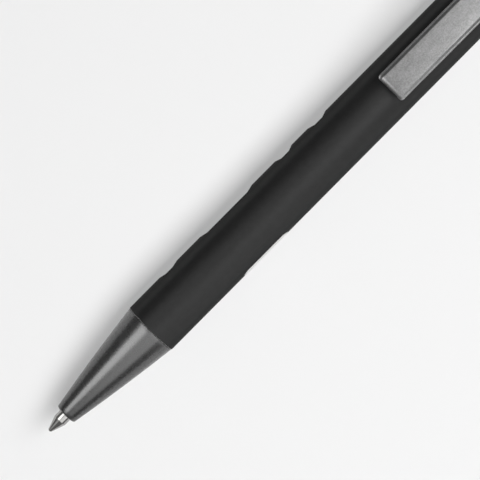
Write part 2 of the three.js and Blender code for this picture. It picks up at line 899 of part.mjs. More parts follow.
place('writing_ball', writingBallGeometry(), brightMetal());
place('refill_tip', refillTipGeometry(), brightMetal());
place('tip_holder', tipHolderGeometry(), whitePlastic());
place('refill_tube', refillTubeGeometry(), clearPlastic());
place('ink_column', inkColumnGeometry(), blueInk());
place('refill_end_plug', refillEndPlugGeometry(), whitePlastic());
place('return_spring', returnSpringGeometry(), springSteel());
place('nose_cone', noseConeGeometry(), gunmetalGloss());
place('front_bush', frontBushGeometry(), brass());
place('barrel_tube', barrelTubeGeometry(), softTouchBlack());
place('rear_bush', rearBushGeometry(), brass());
place('top_collar', topCollarGeometry(), gunmetalGloss());
place('clip', clipGeometry(), gunmetalSatin());
place('cam_sleeve', camSleeveGeometry(), whitePlastic());
place('rotor_cam', rotorCamGeometry(), blackPlastic());
place('plunger', plungerGeometry(), blackPlastic());
place('button_shell', buttonShellGeometry(), gunmetalGloss());
place('stylus_holder', stylusHolderGeometry(), blackPlastic());
place('stylus_tip', stylusTipGeometry(), stylusRubber());

console.log(`Least gap between the spring's curls: ${springGap().toFixed(2)} mm`);

export default group;
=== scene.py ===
# A click ballpoint pen with a rubber stylus tip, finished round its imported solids.
# Pieces are modelled in millimetres on the pen's own axis, and then put into the frame. x is the station
# behind the foremost point of the writing ball, z is up through the clip, and y is towards the four flats.
import math

import bmesh
import bpy
from mathutils import Matrix, Vector


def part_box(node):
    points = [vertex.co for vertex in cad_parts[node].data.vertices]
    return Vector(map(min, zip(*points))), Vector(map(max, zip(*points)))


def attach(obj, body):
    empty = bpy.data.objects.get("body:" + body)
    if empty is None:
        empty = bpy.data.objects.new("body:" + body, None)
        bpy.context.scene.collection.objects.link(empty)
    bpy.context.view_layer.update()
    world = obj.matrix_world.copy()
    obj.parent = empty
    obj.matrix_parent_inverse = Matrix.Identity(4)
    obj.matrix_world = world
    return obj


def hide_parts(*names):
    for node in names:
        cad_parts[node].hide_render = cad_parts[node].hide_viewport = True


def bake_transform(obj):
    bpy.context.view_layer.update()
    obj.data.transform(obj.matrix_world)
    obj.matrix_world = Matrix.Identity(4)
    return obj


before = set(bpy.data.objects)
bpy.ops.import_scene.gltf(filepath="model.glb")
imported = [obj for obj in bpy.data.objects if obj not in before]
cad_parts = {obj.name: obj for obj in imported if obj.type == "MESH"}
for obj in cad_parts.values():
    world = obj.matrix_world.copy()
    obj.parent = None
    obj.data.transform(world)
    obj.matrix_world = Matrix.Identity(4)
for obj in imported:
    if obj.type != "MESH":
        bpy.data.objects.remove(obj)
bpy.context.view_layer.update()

# The pen's place in the frame, in metres
MM = 0.001
BALL_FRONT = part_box("writing_ball")[0].x
AXIS_HEIGHT = (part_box("nose_cone")[0].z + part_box("nose_cone")[1].z) / 2
TO_FRAME = Matrix.Translation((BALL_FRONT, 0, AXIS_HEIGHT)) @ Matrix.Scale(MM, 4)

# Gaps in mm, and how near two corners lie that are one
PRESS_GAP = 0.03
SEAM_GAP = 0.05
LOOSE_GAP = 0.3
SAME_CORNER = 0.0005

# Steps round a turned piece
FINE = 160
MEDIUM = 96
COARSE = 64

# Roundings in mm of edges that several pieces share
STEP_EDGE = 0.05
TUBE_EDGE = 0.06
MOUTH_EDGE = 0.1

# Ball and metal point, in mm
BALL_RADIUS = 0.35
SOCKET_RADIUS = 0.33
SOCKET_LIP = 0.045
SOCKET_MIDDLE_RADIUS = 0.37
POINT_FEED_RADIUS = 0.2
POINT_LIP_STATION = 0.2
POINT_CONE_END = 2.66
POINT_SHOULDER_RADIUS = 1.225
POINT_SHANK_START = 2.74
POINT_SHANK_END = 12.8
POINT_SHANK_RADIUS = 1.25
POINT_TAIL_RADIUS = 0.8
POINT_EDGE = 0.03

# Refill and spring, in mm and degrees
REFILL_RADIUS = 1.5
REFILL_BORE = 1.1
HOLDER_EDGE = 0.12
EAR_START = 30.0
EAR_LENGTH = 1.2
EAR_COUNT = 4
EAR_FIRST_ANGLE = 45
EAR_ANGLE = 30
SPRING_WIRE_RADIUS = 0.2
SPRING_MEAN_RADIUS = 1.95
SPRING_CURLS = 15
SPRING_END_PITCH = 0.42

# Nose cone and the bush that it screws into, in mm
NOSE_FRONT_RADIUS = 2.025
NOSE_FRONT_EDGE = 0.4
NOSE_BULGE = 0.14
NOSE_HOLE_RADIUS = 1.4
NOSE_SPIGOT_RADIUS = 3.87
NOSE_BORE_RADIUS = 2.45
NOSE_SEAT_STATION = 11.11
NOSE_SEAT_BORE = 1.65
NOSE_LIP_LENGTH = 0.8
BUSH_BORE = 3.97
THREAD_PITCH = 0.5
THREAD_DEPTH = 0.2
THREAD_RELIEF = 0.9
THREAD_MARGIN = 0.3

# Barrel, in mm
BARREL_RADIUS = 5.25
BARREL_BORE = 4.45
BARREL_EDGE = 0.12
NOSE_REAR_RADIUS = BARREL_RADIUS - 0.07
# Each flat is its start and end at full diameter, the length of its two ramps, and its depth.
FAR_SIDE_FLATS = [
    (33.1, 37.5, 1.35, 0.27),
    (43.3, 56.3, 1.5, 0.32),
    (62.1, 66.3, 1.15, 0.39),
    (70.3, 74.8, 1.35, 0.39),
]
NEAR_SIDE_FLATS = [(43.7, 55.2, 1.4, 0.135)]
# The near side's flat faces this many degrees above the level.
NEAR_SIDE_LEAN = 9.2
# Depths below the full radius at which the lacquer starts to thin, and has gone
LACQUER_THINS = 0.02
LACQUER_GONE = 0.035

# Collar, in mm
COLLAR_SHOULDER = 2.2
COLLAR_BORE = 3.99
COLLAR_RIM = 0.38
COLLAR_REAR_EDGE = 0.08

# Clip, in mm and degrees
CLIP_THICKNESS = 1.1
CLIP_LIFT_FRONT = 0.85
CLIP_LIFT_REAR = 1.5
CLIP_FOOT_LENGTH = 2.0
CLIP_CORNER = 0.65
CLIP_END_LENGTH = 1.2
CLIP_END_DROP = 0.52
CLIP_CROWN = 0.07
CLIP_BEVEL = 0.45
CLIP_BEVEL_DROP = 0.33
CLIP_RIM = 0.28
CLIP_RIM_DROP = 0.05
CLIP_UNDER_EDGE = 0.22
CLIP_SIDE_EDGE = 0.18
CLIP_RIM_EDGE = 0.08
CLIP_PANEL_EDGE = 0.45
CLIP_NUB_START = 2.2
CLIP_NUB_LENGTH = 3.4
CLIP_SHOULDER = 1.6
CLIP_ARCH = 0.7
CLIP_TONGUE_WIDTH = 3.4
CLIP_TONGUE_BOTTOM = 4.29
CLIP_SHARP = 35

# Button and stylus, in mm
BUTTON_RADIUS = 2.96
BUTTON_BORE = 2.66
BUTTON_HEAD_LENGTH = 2.4
BUTTON_HEAD_RADIUS = 3.38
BUTTON_HEAD_EDGE = 0.5
BUTTON_REAR_EDGE = 0.25
BUTTON_RECESS = 1.5
STYLUS_RADIUS = 3.4
STYLUS_WALL = 0.75
STYLUS_SKIRT_RADIUS = 3.05
STYLUS_NECK_BORE = 2.3

# The range that most of a noise lies in
NOISE_LOW = 0.3
NOISE_HIGH = 0.7

# The photograph. The pen's axis rises to the right in it by the axis angle, and the camera leans off the
# vertical by the tilt, both in degrees. The camera looks at a station and a y of the pen, in mm.
PHOTO_SIZE = 480
PIXELS_PER_MM = 5.638
AXIS_ANGLE = 45.22
TILT = 1.5
LOOK_AT = (47.9, -0.16)
LENS = 150
SENSOR = 36

# Floor and world. The floor reaches this far each way, in metres, and its glow is its share of plain white.
FLOOR_REACH = 3.0
FLOOR_WHITE = 0.885
FLOOR_GLOW = 0.43
WORLD_SEEN = 0.88
WORLD_REFLECTED = 0.2
WORLD_LIGHT = 0.1

# Lamps, all this far from the pen's axis, in metres. Each has its name, its first and last angle, its front
# and rear end, and its radiance, as softbox takes them.
LAMP_DISTANCE = 0.75
KEY_LAMP = ("key_softbox", 9, 40, -0.6, 1.0, 4.75)
REFLECTED_LAMPS = [
    ("front_ceiling", -2, 56, -0.42, -0.15, 1.25),
    ("ceiling_panel", 11, 68, -0.15, 0.07, 1.4),
    ("overhead_strip", -38, -2, -0.5, -0.22, 3.3),
    ("neck_strip", -46, -9, -0.22, -0.14, 3.0),
    ("rear_panel", 5, 45, 0.17, 0.6, 4.2),
    ("clip_panel", -26, 6, 0.06, 0.6, 1.3),
    ("side_panel", 60, 88, -0.11, 0.05, 2.0),
    ("front_panel", -40, 0, -1.3, -0.7, 0.45),
]


# Making meshes
def ends(node):
    """Front and rear stations of a solid, in mm."""
    low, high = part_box(node)
    return (low.x - BALL_FRONT) / MM, (high.x - BALL_FRONT) / MM


def rounded(corners, steps=5):
    """An outline through corners, each (station, radius, rounding), with an arc at each rounded corner."""
    points = []
    for i, (station, radius, rounding) in enumerate(corners):
        here = Vector((station, radius))
        if not rounding:
            points.append(here)
            continue
        before = (Vector(corners[i - 1][:2]) - here).normalized()
        after = (Vector(corners[(i + 1) % len(corners)][:2]) - here).normalized()
        # The arc's centre lies on the line that halves the corner.
        half = before.angle(after) / 2
        centre = here + (before + after).normalized() * rounding / math.sin(half)
        start = here + before * rounding / math.tan(half) - centre
        side = 1 if before.x * after.y - before.y * after.x < 0 else -1
        for k in range(steps + 1):
            turn = side * (math.pi - 2 * half) * k / steps
            points.append(centre + Matrix.Rotation(turn, 2) @ start)
    return points


def thread(start, end, radius, depth):
    """Corners of a fine thread between two stations. Depth is below 0 for a thread in a bore."""
    count = round(abs(end - start) / THREAD_PITCH)
    step = (end - start) / count
    corners = []
    for i in range(count):
        corners.append((start + i * step, radius, 0))
        corners.append((start + (i + 0.5) * step, radius - depth, 0))
    return corners + [(end, radius, 0)]


def turned(outline, segments=FINE):
    """A bmesh turned about the pen's axis from a closed outline of stations and radii."""
    bm = bmesh.new()
    verts = [bm.verts.new((x, 0, r)) for x, r in outline]
    for a, b in zip(verts, verts[1:] + verts[:1]):
        bm.edges.new((a, b))
    geometry = bm.verts[:] + bm.edges[:]
    bmesh.ops.spin(bm, geom=geometry, cent=(0, 0, 0), axis=(1, 0, 0), angle=math.tau, steps=segments,
                   use_merge=True)
    return bm


def prism(outline, width, lean=0.0):
    """A prism of an outline of stations and heights, centred across the pen and turned about its axis."""
    bm = bmesh.new()
    face = bm.faces.new([bm.verts.new((x, -width / 2, z)) for x, z in outline])
    made = bmesh.ops.extrude_face_region(bm, geom=[face])["geom"]
    moved = [v for v in made if isinstance(v, bmesh.types.BMVert)]
    bmesh.ops.translate(bm, verts=moved, vec=(0, width, 0))
    bmesh.ops.rotate(bm, verts=bm.verts[:], cent=(0, 0, 0), matrix=Matrix.Rotation(lean, 3, "X"))
    return bm


def swept(section, stations):
    """A closed bmesh of a section of distances and heights, repeated at each station from 0 on."""
    bm = bmesh.new()
    ring = [bm.verts.new((0, across, height)) for across, height in section]
    edges = [bm.edges.new((a, b)) for a, b in zip(ring, ring[1:] + ring[:1])]
    for here, following in zip(stations, stations[1:]):
        made = bmesh.ops.extrude_edge_only(bm, edges=edges)["geom"]
        edges = [g for g in made if isinstance(g, bmesh.types.BMEdge)]
        fresh = [g for g in made if isinstance(g, bmesh.types.BMVert)]
        bmesh.ops.translate(bm, verts=fresh, vec=(following - here, 0, 0))
    bmesh.ops.holes_fill(bm, edges=[e for e in bm.edges if e.is_boundary])
    return bm


def box_outline(start, end, low, high):
    """The outline of a box from its first and last station and its lowest and highest place."""
    return [(start, low), (end, low), (end, high), (start, high)]


def piece_of(bm, name, sharp=30):
    """An object of a bmesh, with smooth faces and the edges above an angle kept sharp."""
    bmesh.ops.remove_doubles(bm, verts=bm.verts[:], dist=SAME_CORNER)
    bmesh.ops.recalc_face_normals(bm, faces=bm.faces[:])
    mesh = bpy.data.meshes.new(name)
    bm.to_mesh(mesh)
    bm.free()
    piece = bpy.data.objects.new(name, mesh)
    bpy.context.scene.collection.objects.link(piece)
    return smooth(piece, sharp)


def smooth(piece, sharp):
    """Smooths a piece's faces, apart from edges that turn more than sharp degrees."""
    piece.data.shade_smooth()
    piece.data.set_sharp_from_angle(angle=math.radians(sharp))
    return piece


def combine(piece, others, operation, sharp=30):
    """Joins other objects to a piece or cuts them away from it, and deletes them."""
    for other in others:
        boolean = piece.modifiers.new(operation.lower(), "BOOLEAN")
        boolean.operation = operation
        boolean.solver = "EXACT"
        boolean.object = other
    shape = piece.evaluated_get(bpy.context.evaluated_depsgraph_get())
    mesh = bpy.data.meshes.new_from_object(shape)
    piece.modifiers.clear()
    piece.data = mesh
    for other in others:
        bpy.data.objects.remove(other)
    return smooth(piece, sharp)


def settle(piece, body, material, node):
    """Puts a piece into the frame, gives it its finish and hides the solid that it stands for.
    Body is None for a piece that is attached to no body."""
    piece.data.transform(TO_FRAME)
    piece.data.materials.clear()
    piece.data.materials.append(material)
    if body:
        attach(piece, body)
    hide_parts(node)


# Making materials
def add(tree, kind, inputs, output=0, **settings):
    """An output of a new node. Its inputs are values or other nodes' outputs."""
    node = tree.nodes.new("ShaderNode" + kind)
    for name, value in settings.items():
        setattr(node, name, value)
    for name, value in inputs.items():
        if isinstance(value, bpy.types.NodeSocket):
            tree.links.new(value, node.inputs[name])
        else:
            node.inputs[name].default_value = value
    return node.outputs[output]


def pen_point(tree, stretch=(1, 1, 1)):
    """The place on the pen in mm, with y and z from its axis, stretched along each direction."""
    place = tree.nodes.new("ShaderNodeTexCoord").outputs["Object"]
    scale = [s / MM for s in stretch]
    lowered = (0, 0, -AXIS_HEIGHT * scale[2])
    return add(tree, "Mapping", {"Vector": place, "Scale": scale, "Location": lowered})


def noise(tree, point, scale, detail=2.0, roughness=0.5):
    """A noise pattern. Its patches are about 1 mm across at a scale of 1."""
    inputs = {"Vector": point, "Scale": scale, "Detail": detail, "Roughness": roughness}
    return add(tree, "TexNoise", inputs)


def spread(tree, value, low, high, to_low, to_high):
    """A value taken from one range to another, and kept inside it."""
    limits = {"From Min": low, "From Max": high, "To Min": to_low, "To Max": to_high}
    return add(tree, "MapRange", {"Value": value, **limits})


def varied(tree, pattern, low, high):
    """A value that goes from low to high with a noise."""
    return spread(tree, pattern, NOISE_LOW, NOISE_HIGH, low, high)


def shades(tree, pattern, dark, light):
    """A colour that goes from dark to light with a noise. Each is a grey or a colour."""
    node = tree.nodes.new("ShaderNodeValToRGB")
    tree.links.new(pattern, node.inputs["Fac"])
    stops = [(NOISE_LOW, dark), (NOISE_HIGH, light)]
    for element, (place, colour) in zip(node.color_ramp.elements, stops):
        element.position = place
        element.color = (*colour, 1) if isinstance(colour, tuple) else (colour, colour, colour, 1)
    return node.outputs["Color"]


def mixed(tree, share, first, second):
    """The first colour where share is 0 and the second where it is 1."""
    node = tree.nodes.new("ShaderNodeMix")
    node.data_type = "RGBA"
    # The node has sockets of the same names for other kinds of value, so the colour ones go by number.
    tree.links.new(share, node.inputs[0])
    tree.links.new(first, node.inputs[6])
    tree.links.new(second, node.inputs[7])
    return node.outputs[2]


def relief(tree, height, strength, depth):
    """A bump of a height map, with its depth in mm."""
    return add(tree, "Bump", {"Height": height, "Strength": strength, "Distance": depth * MM})


def finish(name, metallic, specular=0.5):
    """A new material with its tree and its shader."""
    material = bpy.data.materials.new(name)
    material.use_nodes = True
    tree = material.node_tree
    shader = tree.nodes["Principled BSDF"]
    shader.inputs["Metallic"].default_value = metallic
    shader.inputs["Specular IOR Level"].default_value = specular
    return material, tree, shader


def dress(tree, shader, colour, roughness, normal):
    """Joins the finished colour, roughness and bump to the shader."""
    tree.links.new(colour, shader.inputs["Base Color"])
    tree.links.new(roughness, shader.inputs["Roughness"])
    tree.links.new(normal, shader.inputs["Normal"])


def soft_touch_black():
    """Matt black lacquer on aluminium, which is bare where it is milled and inside."""
    material, tree, shader = finish("soft_touch_black", metallic=0.0, specular=0.27)
    point = pen_point(tree)
    radius = add(tree, "VectorMath", {0: pen_point(tree, (0, 1, 1))}, output="Value", operation="LENGTH")
    bare = spread(tree, radius, BARREL_RADIUS - LACQUER_THINS, BARREL_RADIUS - LACQUER_GONE, 0.0, 1.0)
    mottle = noise(tree, point, scale=0.8, detail=4.0, roughness=0.6)
    lacquer = shades(tree, mottle, 0.009, 0.012)
    turning = noise(tree, pen_point(tree, (14, 1, 1)), scale=1.0)
    metal = shades(tree, turning, 0.62, 0.72)
    grain = noise(tree, point, scale=14.0)
    matt = varied(tree, grain, 0.34, 0.44)
    facing = add(tree, "LayerWeight", {"Blend": 0.5}, output="Facing")
    edge_softness = spread(tree, facing, 0.25, 0.55, 0.0, 0.42)
    soft = add(tree, "Math", {0: matt, 1: edge_softness}, operation="ADD")
    roughness = add(tree, "MapRange", {"Value": bare, "To Min": soft, "To Max": 0.3})
    tree.links.new(bare, shader.inputs["Metallic"])
    bump = relief(tree, grain, strength=0.25, depth=0.01)
    dress(tree, shader, mixed(tree, bare, lacquer, metal), roughness, bump)
    return material


def gunmetal(name, base, roughness):
    """Turned and plated metal with faint turning marks round the pen."""
    material, tree, shader = finish(name, metallic=1.0)
    cloud = noise(tree, pen_point(tree), scale=0.9)
    marks = noise(tree, pen_point(tree, (22, 0.15, 0.15)), scale=1.0, roughness=0.7)
    colour = shades(tree, cloud, base * 0.95, base * 1.05)
    rough = varied(tree, cloud, roughness - 0.01, roughness + 0.02)
    dress(tree, shader, colour, rough, relief(tree, marks, strength=0.06, depth=0.004))
    return material


def satin_gunmetal(base):
    """The clip's blasted and plated metal, with a fine grain and faint rubbed clouds. Its colour is darker
    in the grain's hollows and lighter on its peaks, as painted shade and painted highlight.
    """
    material, tree, shader = finish("satin_gunmetal", metallic=1.0)
    cloud = noise(tree, pen_point(tree, (0.5, 1, 1)), scale=0.8, detail=5.0, roughness=0.65)
    grain = noise(tree, pen_point(tree), scale=3.8, detail=3.0, roughness=0.75)
    # Painted shade in the grain's hollows and painted highlight on its peaks: the colour follows the bump's
    # height.
    painted_shade_hollows = shades(tree, cloud, base * 0.76, base * 0.95)
    painted_highlight_peaks = shades(tree, cloud, base * 1.02, base * 1.3)
    colour = mixed(tree, spread(tree, grain, 0.38, 0.62, 0.0, 1.0), painted_shade_hollows, painted_highlight_peaks)
    rough = varied(tree, grain, 0.28, 0.36)
    dress(tree, shader, colour, rough, relief(tree, grain, strength=0.6, depth=0.02))
    return material


def bright_metal(name, base, roughness):
    """Plain turned metal, with turning marks round the pen."""
    material, tree, shader = finish(name, metallic=1.0)
    marks = noise(tree, pen_point(tree, (40, 0.3, 0.3)), scale=1.0)
    colour = shades(tree, marks, tuple(0.94 * c for c in base), base)
    rough = varied(tree, marks, roughness - 0.03, roughness + 0.04)
    dress(tree, shader, colour, rough, relief(tree, marks, strength=0.15, depth=0.004))
    return material


def moulded_plastic(name, base, roughness):
    """Moulded plastic with a faint grain."""
    material, tree, shader = finish(name, metallic=0.0)
    cloud = noise(tree, pen_point(tree), scale=1.5, detail=3.0)
    grain = noise(tree, pen_point(tree), scale=12.0)
    colour = shades(tree, cloud, tuple(0.93 * c for c in base), base)
    rough = varied(tree, grain, roughness - 0.04, roughness + 0.05)
    dress(tree, shader, colour, rough, relief(tree, grain, strength=0.2, depth=0.01))
    return material


def stylus_rubber():
    """Soft matt rubber with a fine powdery bloom."""
    material, tree, shader = finish("stylus_rubber", metallic=0.0, specular=0.3)
    shader.inputs["Sheen Weight"].default_value = 0.15
    bloom = noise(tree, pen_point(tree), scale=2.5, detail=4.0, roughness=0.6)
    grain = noise(tree, pen_point(tree), scale=16.0)
    colour = shades(tree, bloom, 0.016, 0.024)
    rough = varied(tree, bloom, 0.7, 0.8)
    dress(tree, shader, colour, rough, relief(tree, grain, strength=0.4, depth=0.015))
    return material


# Pieces of the refill
def writing_ball():
    """The ball, with its foremost point at station 0."""
    bm = bmesh.new()
    bmesh.ops.create_uvsphere(bm, u_segments=32, v_segments=20, radius=BALL_RADIUS)
    bmesh.ops.translate(bm, verts=bm.verts[:], vec=(BALL_RADIUS, 0, 0))
    return piece_of(bm, "ball")


def metal_point():
    """The turned point, with its cone, its shank, its tail in the holder and the socket round the ball."""
    tail_end = ends("refill_tip")[1]
    outline = rounded([
        (POINT_LIP_STATION, SOCKET_RADIUS + SOCKET_LIP, POINT_EDGE),
        (POINT_CONE_END, POINT_SHOULDER_RADIUS, POINT_EDGE),
        (POINT_SHANK_START, POINT_SHANK_RADIUS, POINT_EDGE),
        (POINT_SHANK_END, POINT_SHANK_RADIUS, STEP_EDGE),
        (POINT_SHANK_END, POINT_TAIL_RADIUS, 0),
        (tail_end, POINT_TAIL_RADIUS, STEP_EDGE),
        (tail_end, POINT_FEED_RADIUS, 0),
        (2 * BALL_RADIUS, POINT_FEED_RADIUS, 0),
        (BALL_RADIUS, SOCKET_MIDDLE_RADIUS, 0),
        (POINT_LIP_STATION, SOCKET_RADIUS, 0),
    ])
    return piece_of(turned(outline, MEDIUM), "metal_point")


def point_holder():
    """The plastic holder of the point, with a collar as wide as the ink tube and a plug that fits in it."""
    front, rear = ends("tip_holder")
    collar_end = ends("refill_tube")[0]
    outline = rounded([
        (front, REFILL_RADIUS, HOLDER_EDGE),
        (collar_end, REFILL_RADIUS, STEP_EDGE),
        (collar_end, REFILL_BORE - PRESS_GAP, 0),
        (rear, REFILL_BORE - PRESS_GAP, MOUTH_EDGE),
        (rear, POINT_TAIL_RADIUS + PRESS_GAP, 0),
        (front, POINT_TAIL_RADIUS + PRESS_GAP, 0),
    ])
    return piece_of(turned(outline, COARSE), "point_holder")


def ear(middle):
    """One ear of the refill, which the spring pushes on, at an angle round the pen."""
    bm = bmesh.new()
    inner = (REFILL_RADIUS + REFILL_BORE) / 2
    outer = SPRING_MEAN_RADIUS + SPRING_WIRE_RADIUS
    outline = box_outline(EAR_START, EAR_START + EAR_LENGTH, inner, outer)
    face = bm.faces.new([bm.verts.new((x, 0, z)) for x, z in outline])
    start = Matrix.Rotation(math.radians(middle - EAR_ANGLE / 2), 3, "X")
    bmesh.ops.rotate(bm, verts=bm.verts[:], cent=(0, 0, 0), matrix=start)
    bmesh.ops.spin(bm, geom=[face], cent=(0, 0, 0), axis=(1, 0, 0), angle=math.radians(EAR_ANGLE), steps=8)
    return piece_of(bm, "ear")


def ink_tube():
    """The ink tube, with its ears evenly round it."""
    front, rear = ends("refill_tube")
    outline = rounded([
        (front, REFILL_RADIUS, TUBE_EDGE),
        (rear, REFILL_RADIUS, TUBE_EDGE),
        (rear, REFILL_BORE, 0),
        (front, REFILL_BORE, 0),
    ])
    tube = piece_of(turned(outline, COARSE), "ink_tube")
    ears = [ear(EAR_FIRST_ANGLE + 360 / EAR_COUNT * i) for i in range(EAR_COUNT)]
    return combine(tube, ears, "UNION")


def coil_spring():
    """A round wire wound at an even pitch, with a closed curl at each end."""
    front, rear = ends("return_spring")
    steps = 28
    bm = bmesh.new()
    bmesh.ops.create_circle(bm, segments=10, radius=SPRING_WIRE_RADIUS)
    bmesh.ops.rotate(bm, verts=bm.verts[:], cent=(0, 0, 0), matrix=Matrix.Rotation(math.pi / 2, 3, "X"))
    bmesh.ops.translate(bm, verts=bm.verts[:], vec=(front + SPRING_WIRE_RADIUS, 0, SPRING_MEAN_RADIUS))
    working = SPRING_CURLS - 2
    pitch = (rear - front - 2 * SPRING_WIRE_RADIUS - 2 * SPRING_END_PITCH) / working
    wire = bm.verts[:] + bm.edges[:]
    for curls, rise in ((1, SPRING_END_PITCH), (working, pitch), (1, SPRING_END_PITCH)):
        made = bmesh.ops.spin(bm, geom=wire, cent=(0, 0, 0), axis=(1, 0, 0), dvec=(rise / steps, 0, 0),
                              angle=math.tau * curls, steps=steps * curls)
        wire = made["geom_last"]
    bmesh.ops.holes_fill(bm, edges=[e for e in bm.edges if e.is_boundary])
    return piece_of(bm, "coil_spring", sharp=60)


# Body of the pen
def nose_side(front, rear, steps=24):
    """Corners of the nose's gently bulging side."""
    corners = []
    for i in range(1, steps):
        share = i / steps
        straight = NOSE_FRONT_RADIUS + (NOSE_REAR_RADIUS - NOSE_FRONT_RADIUS) * share
        corners.append((front + (rear - front) * share, straight + 4 * NOSE_BULGE * share * (1 - share), 0))
    return corners


def nose_shell():
    """The nose cone, with its threaded spigot and the seat of the spring inside."""
    front, spigot_end = ends("nose_cone")
    rear = ends("barrel_tube")[0] - SEAM_GAP
    root_radius = NOSE_SPIGOT_RADIUS - THREAD_DEPTH
    thread_start = rear + THREAD_RELIEF
    lip_end = front + NOSE_LIP_LENGTH
    outline = rounded([
        (front, NOSE_HOLE_RADIUS, MOUTH_EDGE),
        (front, NOSE_FRONT_RADIUS, NOSE_FRONT_EDGE),
        *nose_side(front, rear),
        (rear, NOSE_REAR_RADIUS, TUBE_EDGE),
        (rear, root_radius, 0),
        (thread_start, root_radius, 0),
        *thread(thread_start, spigot_end - THREAD_MARGIN, NOSE_SPIGOT_RADIUS, THREAD_DEPTH),
        (spigot_end, root_radius, 0),
        (spigot_end, NOSE_BORE_RADIUS, MOUTH_EDGE),
        (NOSE_SEAT_STATION, NOSE_BORE_RADIUS, 0),
        (NOSE_SEAT_STATION, NOSE_SEAT_BORE, 0),
        (lip_end, NOSE_SEAT_BORE, 0),
        (lip_end, NOSE_HOLE_RADIUS, 0),
    ])
    return piece_of(turned(outline), "nose_shell")


def threaded_bush():
    """The brass bush in the front of the barrel, with the thread for the nose cone."""
    front, rear = ends("front_bush")
    outline = rounded([
        (front, BARREL_BORE - PRESS_GAP, STEP_EDGE),
        (rear, BARREL_BORE - PRESS_GAP, STEP_EDGE),
        (rear, BUSH_BORE, 0),
        *thread(rear - THREAD_MARGIN, front + THREAD_MARGIN, BUSH_BORE, -THREAD_DEPTH),
        (front, BUSH_BORE + THREAD_DEPTH, 0),
    ])
    return piece_of(turned(outline, MEDIUM), "threaded_bush")


def flat_cutter(start, end, ramp, depth, turn):
    """What a milling cutter takes away for one flat, with its two ramps."""
    proud = 1.0
    overrun = ramp * proud / depth
    outline = [
        (start - overrun, BARREL_RADIUS + proud),
        (start + ramp, BARREL_RADIUS - depth),
        (end - ramp, BARREL_RADIUS - depth),
        (end + overrun, BARREL_RADIUS + proud),
    ]
    return piece_of(prism(outline, 2 * BARREL_RADIUS, turn), "cutter")


def barrel_body():
    """The barrel tube, with its flats milled into both sides."""
    front, rear = ends("barrel_tube")
    outline = rounded([
        (front, BARREL_RADIUS, BARREL_EDGE),
        (rear, BARREL_RADIUS, BARREL_EDGE),
        (rear, BARREL_BORE, 0),
        (front, BARREL_BORE, 0),
    ])
    far = math.radians(-90)
    near = math.radians(90 - NEAR_SIDE_LEAN)
    cutters = [flat_cutter(*size, far) for size in FAR_SIDE_FLATS]
    cutters += [flat_cutter(*size, near) for size in NEAR_SIDE_FLATS]
    return combine(piece_of(turned(outline), "barrel_body"), cutters, "DIFFERENCE", sharp=5)


def collar_shoulder(rear, steps=16):
    """Corners of the collar's round shoulder, from its full radius in to the rim round the button."""
    middle = BARREL_RADIUS - COLLAR_SHOULDER
    last = math.asin((COLLAR_BORE + COLLAR_RIM - middle) / COLLAR_SHOULDER)
    start = rear - COLLAR_SHOULDER * math.cos(last)
    corners = []
    for k in range(steps + 1):
        angle = math.pi / 2 + (last - math.pi / 2) * k / steps
        station = start + COLLAR_SHOULDER * math.cos(angle)
        corners.append((station, middle + COLLAR_SHOULDER * math.sin(angle), 0))
    return corners


def collar_slot():
    """What is cut out of the collar for the clip's tongue."""
    back = ends("clip")[1] + LOOSE_GAP
    outline = box_outline(back - CLIP_FOOT_LENGTH - 2 * LOOSE_GAP, back, 0, 2 * BARREL_RADIUS)
    return piece_of(prism(outline, CLIP_TONGUE_WIDTH + 2 * LOOSE_GAP), "slot")


def collar_ring():
    """The collar behind the barrel, with the clip's slot in its top."""
    front, rear = ends("top_collar")
    outline = rounded([
        (front, COLLAR_BORE, 0),
        (front, BARREL_RADIUS, BARREL_EDGE),
        *collar_shoulder(rear),
        (rear, COLLAR_BORE, COLLAR_REAR_EDGE),
    ])
    return combine(piece_of(turned(outline), "collar_ring"), [collar_slot()], "DIFFERENCE")


# Clip
def clip_section(half, steps=5):
    """The clip's section, as points of distance from its middle and height above its crown."""
    rim = half - CLIP_RIM
    panel = rim - CLIP_BEVEL
    rim_height = -CLIP_CROWN - CLIP_BEVEL_DROP
    side = [
        (half, -CLIP_THICKNESS, CLIP_UNDER_EDGE),
        (half, rim_height - CLIP_RIM_DROP, CLIP_SIDE_EDGE),
        (rim, rim_height, CLIP_RIM_EDGE),
        (panel, -CLIP_CROWN, CLIP_PANEL_EDGE),
    ]
    crown = [(panel * (1 - k / steps), -CLIP_CROWN * (1 - k / steps) ** 2, 0) for k in range(1, steps)]
    right = side + crown
    left = [(-across, height, rounding) for across, height, rounding in reversed(right)]
    return rounded([*right, (0, 0, 0), *left], steps=3)


def drawn_in(along, rounding):
    """How far a rounded edge has drawn in from its full line, at a distance behind the clip's end."""
    ahead = max(0.0, 1 - along / rounding)
    return rounding * (1 - math.sqrt(1 - ahead ** 2))


def shape_clip_point(point, half, nub_depth):
    """Moves a point of the straight bar to where the rounded end and the nub need it."""
    along, across, height = point
    middle = -CLIP_THICKNESS / 2
    on_top = height > middle
    across *= 1 - drawn_in(along, CLIP_CORNER) / half
    drop = CLIP_END_DROP * drawn_in(along, CLIP_END_LENGTH) / CLIP_END_LENGTH
    height = middle + (height - middle) * (1 - 2 * drop / CLIP_THICKNESS)
    share = (along - CLIP_NUB_START) / CLIP_NUB_LENGTH
    if not on_top and 0 < share < 1:
        height -= 4 * nub_depth * share * (1 - share)
    return Vector((along, across, height))


def bend_clip_point(point, arm, slope):
    """Where a point of the straight clip lies once the bar is bent down at its shoulder and tilted."""
    past = max(0.0, point.x - arm)
    turn = min(past / CLIP_SHOULDER, math.pi / 2 + slope)
    rest = past - turn * CLIP_SHOULDER
    reach = CLIP_SHOULDER + point.z
    x = min(point.x, arm) + reach * math.sin(turn) + rest * math.cos(turn)
    z = reach * math.cos(turn) - CLIP_SHOULDER - rest * math.sin(turn)
    return Matrix.Rotation(-slope, 3, "Y") @ Vector((x, point.y, z))


